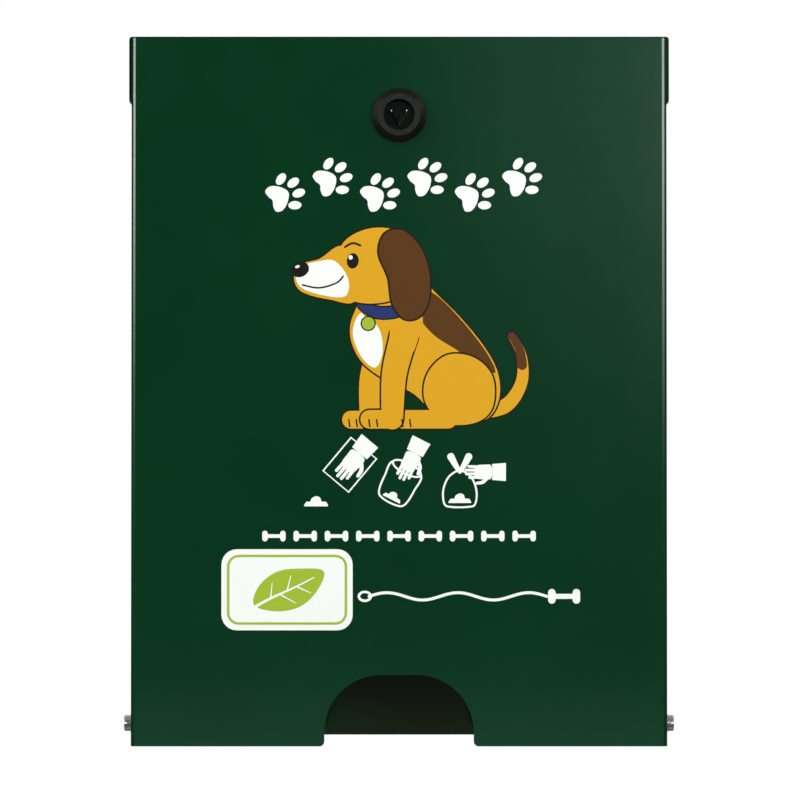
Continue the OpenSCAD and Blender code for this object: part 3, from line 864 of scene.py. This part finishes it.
def lock_thread():
    """The thread on the lock's round sides behind its nut; it dips under the two flats."""
    clear_of_nut, clear_of_end, pitch, steps = 0.4, 0.6, 1.5, 72
    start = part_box("lock_nut")[1].y / MM + clear_of_nut
    end = lock_hi.y / MM - clear_of_end
    # Radius, the same where it has dipped under a flat, and offset along the axis
    profile = ((10.6, 9.6, -0.55), (11.35, 9.85, -0.12), (11.35, 9.85, 0.12), (10.6, 9.6, 0.55))
    rings = []
    for i in range(int((end - start) / pitch * steps)):
        a = 2 * math.pi * i / steps
        y = start + pitch * i / steps
        ring = []
        for radius, under, offset in profile:
            r = min(radius, under / max(abs(math.cos(a)), 0.1))
            ring.append(Vector((r * math.cos(a), y + offset, r * math.sin(a))) * MM + LOCK_AXIS)
        rings.append(ring)
    mesh = swept("lock_thread", rings)
    mesh.materials.append(LOCK)
    add_piece("lock_thread", mesh, "cover")


for number in range(1, BLOCKS + 1):
    bag_stack(number)
    staples(number)
front_bag()
lock_thread()


# --- Studio ----------------------------------------------------------------------------------

def softbox(name, bearing, distance, low, high, spread, radiance, colour=(1, 1, 1)):
    """An upright lit panel round the front, its bearing in degrees to the right of the camera.

    It runs from low to high in z, is spread degrees wide and faces the object's axis."""
    turn = math.radians(bearing)
    light = bpy.data.lights.new(name, "AREA")
    light.shape = "RECTANGLE"
    light.size = 2 * distance * math.tan(math.radians(spread / 2))
    light.size_y = high - low
    light.energy = radiance * math.pi * light.size * light.size_y
    light.color = colour
    lamp = bpy.data.objects.new(name, light)
    lamp.location = (distance * math.sin(turn), FACE_Y - distance * math.cos(turn), (low + high) / 2)
    lamp.rotation_euler = (math.radians(90), 0, turn)
    bpy.context.scene.collection.objects.link(lamp)
    return lamp


def light_link(lamp, piece, state):
    """Keep a light off one piece, as a studio flag would, or let it fall on that piece only."""
    linked = bpy.data.collections.new(f"{lamp.name}_linked")
    linked.objects.link(piece)
    linked.collection_objects[0].light_linking.link_state = state
    lamp.light_linking.receiver_collection = linked


def overhead(name, place, width, depth, radiance):
    """A level lit panel that faces down."""
    light = bpy.data.lights.new(name, "AREA")
    light.shape = "RECTANGLE"
    light.size = width
    light.size_y = depth
    light.energy = radiance * math.pi * width * depth
    lamp = bpy.data.objects.new(name, light)
    lamp.location = place
    bpy.context.scene.collection.objects.link(lamp)
    return lamp


def under_fill(place, width, depth, radiance):
    """A weak level panel that faces up, for the undersides of small metal parts."""
    lamp = overhead("under_fill", place, width, depth, radiance)
    lamp.rotation_euler = (math.radians(180), 0, 0)
    light_link(lamp, nodes["back_housing"], "EXCLUDE")


def studio_world(ambient, reflected):
    """White where the camera looks past the object; a dim room for the object itself."""
    world = bpy.data.worlds.new("studio")
    world.use_nodes = True
    tree = world.node_tree
    tree.nodes.clear()
    path = tree.nodes.new("ShaderNodeLightPath")
    shaders = []
    for level in (ambient, reflected, 1.0):
        shader = tree.nodes.new("ShaderNodeBackground")
        shader.inputs["Color"].default_value = (level, level, level, 1)
        shaders.append(shader.outputs[0])
    result = shaders[0]
    for ray, shader in (("Is Glossy Ray", shaders[1]), ("Is Camera Ray", shaders[2])):
        mix = tree.nodes.new("ShaderNodeMixShader")
        tree.links.new(path.outputs[ray], mix.inputs["Fac"])
        tree.links.new(result, mix.inputs[1])
        tree.links.new(shader, mix.inputs[2])
        result = mix.outputs[0]
    out = tree.nodes.new("ShaderNodeOutputWorld")
    tree.links.new(result, out.inputs["Surface"])
    bpy.context.scene.world = world


def studio_floor(z, width, light_level):
    """A wide pale floor with a soft light of its own, kept off the object and its reflections."""
    bpy.ops.mesh.primitive_plane_add(size=width, location=(0, 0, z))
    floor = bpy.context.object
    floor.name = "floor"
    s = Surface("pale_floor", Roughness=0.9, Specular_IOR_Level=0.1)
    s.into("Base Color", s.ramp(s.noise(2.0), (0.3, 0.80), (0.7, 0.84)))
    floor.data.materials.append(s.material)
    floor.visible_diffuse = False
    floor.visible_glossy = False
    sun = bpy.data.lights.new("floor_light", "SUN")
    sun.energy = light_level * math.pi
    sun.angle = math.radians(60)
    lamp = bpy.data.objects.new("floor_light", sun)
    lamp.location = (0, 0, 3)
    bpy.context.scene.collection.objects.link(lamp)
    light_link(lamp, floor, "INCLUDE")


def studio_camera():
    """Level with the object's lower half, a long way back, tilted up by a degree."""
    data = bpy.data.cameras.new("camera")
    data.lens = 160
    data.sensor_width = 36
    data.clip_end = 50
    cam = bpy.data.objects.new("camera", data)
    bpy.context.scene.collection.objects.link(cam)
    distance, height = 1.843, -0.037
    cam.location = (0, FACE_Y - distance, height)
    target = Vector((0.0005, FACE_Y, -0.0047))
    cam.rotation_euler = (target - cam.location).to_track_quat("-Z", "Y").to_euler()
    bpy.context.scene.camera = cam


GREENISH = (0.54, 1.0, 0.92)
FRONT_DISTANCE = 2.0
BACK_DISTANCE = 2.2

studio_camera()
studio_world(ambient=0.16, reflected=0.04)
studio_floor(z=-1.15, width=18.0, light_level=1.17)
# The boxes dim towards their lower edges, in steps: low, high, radiance
for low, high, radiance in ((0.02, 0.14, 1.8), (0.14, 0.26, 5.5), (0.26, 0.52, 10.0)):
    lamp = softbox(f"right_box_{low}", 37, FRONT_DISTANCE, low, high, spread=52,
                   radiance=radiance, colour=(0.90, 1.0, 0.94))
    light_link(lamp, nodes["roof_cap"], "EXCLUDE")
for low, high, radiance in ((0.02, 0.12, 1.4), (0.12, 0.24, 5.5), (0.24, 0.52, 10.5)):
    lamp = softbox(f"left_box_{low}", -50, FRONT_DISTANCE, low, high, spread=50,
                   radiance=radiance, colour=(1.0, 1.0, 0.95))
    light_link(lamp, nodes["roof_cap"], "EXCLUDE")
for low, high, radiance in ((-0.10, 0.05, 0.04), (0.05, 0.20, 0.13), (0.20, 0.34, 0.29),
                            (0.34, 0.7, 0.38)):
    softbox(f"right_spill_{low}", 6.2, FRONT_DISTANCE, low, high, spread=9.4,
            radiance=radiance, colour=GREENISH)
# Two glows from below, seen only as reflections: one on all but the back plate, one on it alone
for name, radiance, colour, state in (("low_glow", 0.50, GREENISH, "EXCLUDE"),
                                      ("inside_glow", 0.27, (1.0, 0.98, 0.7), "INCLUDE")):
    lamp = softbox(name, 0, FRONT_DISTANCE, low=-1.0, high=-0.31, spread=60,
                   radiance=radiance, colour=colour)
    lamp.visible_diffuse = False
    light_link(lamp, nodes["back_housing"], state)
overhead("top_light", (0, 0, 1.9), width=4.4, depth=4.0, radiance=0.65)
under_fill((0, -0.2, -0.95), width=1.6, depth=1.0, radiance=0.42)
SIDES = ((1, "right"), (-1, "left"))
for side, name in SIDES:
    softbox(f"{name}_key", side * 68, FRONT_DISTANCE, low=0.95, high=1.5, spread=20, radiance=14.0)
for side, name in SIDES:
    softbox(f"back_{name}", side * 150, BACK_DISTANCE, low=1.1, high=2.4, spread=56, radiance=2.6)

bpy.context.scene.view_settings.view_transform = "Standard"
bpy.context.scene.view_settings.look = "None"
